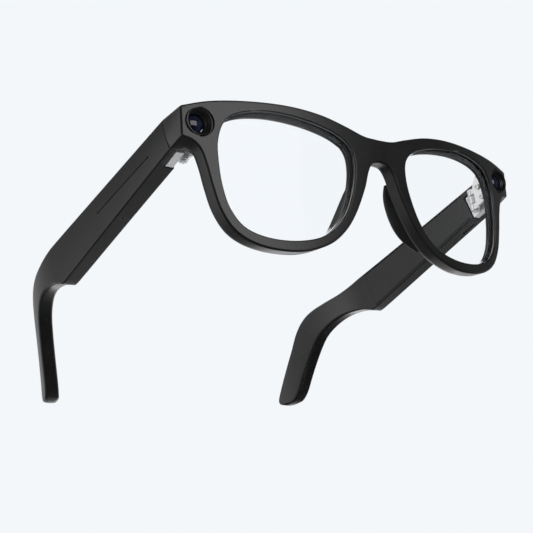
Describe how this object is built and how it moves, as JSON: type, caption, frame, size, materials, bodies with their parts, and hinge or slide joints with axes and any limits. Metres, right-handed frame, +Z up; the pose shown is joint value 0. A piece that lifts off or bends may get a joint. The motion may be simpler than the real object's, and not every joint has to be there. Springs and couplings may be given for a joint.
{
  "type": "smart glasses",
  "caption": "Thick-rimmed black smart glasses with clear lenses, a round module in each end piece and folding temples that hold the electronics.",
  "frame": {"origin": "middle of the bounding box's underside, the plane that the rims and temple tips rest on", "axes": "+X towards the wearer's left, +Y from the lenses back to the ears, +Z up"},
  "size_m": [0.1536, 0.1502, 0.0483],
  "materials": {
    "black_plastic": "satin moulded black",
    "pad_plastic": "soft satin black",
    "cover_plastic": "satin dark grey",
    "clear_lens": "clear, polished",
    "hinge_steel": "satin steel",
    "bezel_black": "gloss black",
    "module_glass": "dark coated glass",
    "board_green": "solder mask",
    "battery_foil": "foil pouch",
    "speaker_metal": "dark metal can",
    "contact_gold": "gold plated"
  },
  "bodies": {
    "front": {"front_frame": "black_plastic", "nose_pad_left": "pad_plastic", "nose_pad_right": "pad_plastic", "lens_left": "clear_lens", "lens_right": "clear_lens", "hinge_front_leaf_left": "hinge_steel", "hinge_front_leaf_right": "hinge_steel", "hinge_screw_left": "hinge_steel", "hinge_screw_right": "hinge_steel", "front_leaf_screw_1_left": "hinge_steel", "front_leaf_screw_1_right": "hinge_steel", "front_leaf_screw_2_left": "hinge_steel", "front_leaf_screw_2_right": "hinge_steel", "camera_bezel": "bezel_black", "sensor_bezel": "bezel_black", "camera_barrel": "bezel_black", "sensor_barrel": "bezel_black", "camera_window": "module_glass", "sensor_window": "module_glass", "camera_board": "board_green", "sensor_board": "board_green"},
    "left_temple": {"temple_shell_left": "black_plastic", "temple_inner_cover_left": "cover_plastic", "hinge_temple_leaf_left": "hinge_steel", "temple_leaf_screw_1_left": "hinge_steel", "temple_leaf_screw_2_left": "hinge_steel", "driver_board_left": "board_green", "battery_left": "battery_foil", "speaker_left": "speaker_metal", "speaker_mesh_left": "speaker_metal"},
    "right_temple": {"temple_shell_right": "black_plastic", "temple_inner_cover_right": "cover_plastic", "hinge_temple_leaf_right": "hinge_steel", "temple_leaf_screw_1_right": "hinge_steel", "temple_leaf_screw_2_right": "hinge_steel", "main_board_right": "board_green", "battery_right": "battery_foil", "speaker_right": "speaker_metal", "microphone_right": "speaker_metal", "button_switch_right": "speaker_metal", "charging_contact_1_right": "contact_gold", "charging_contact_2_right": "contact_gold"},
    "capture_button": {"capture_button": "cover_plastic"}
  },
  "joints": [
    {"name": "left_temple_fold", "type": "hinge", "parent": "front", "child": "left_temple", "pos_m": [0.0669, -0.05377, 0.03796], "axis": [0, -0.1167, 0.9932], "range_deg": [0, 88]},
    {"name": "right_temple_fold", "type": "hinge", "parent": "front", "child": "right_temple", "pos_m": [-0.0669, -0.05377, 0.03796], "axis": [0, 0.1167, -0.9932], "range_deg": [0, 76]},
    {"name": "capture_button_press", "type": "slide", "parent": "right_temple", "child": "capture_button", "axis": [0, -0.1271, -0.9919], "range_m": [0, 0.0004], "stiffness_N_per_m": 600, "springref_m": -0.0005}
  ]
}
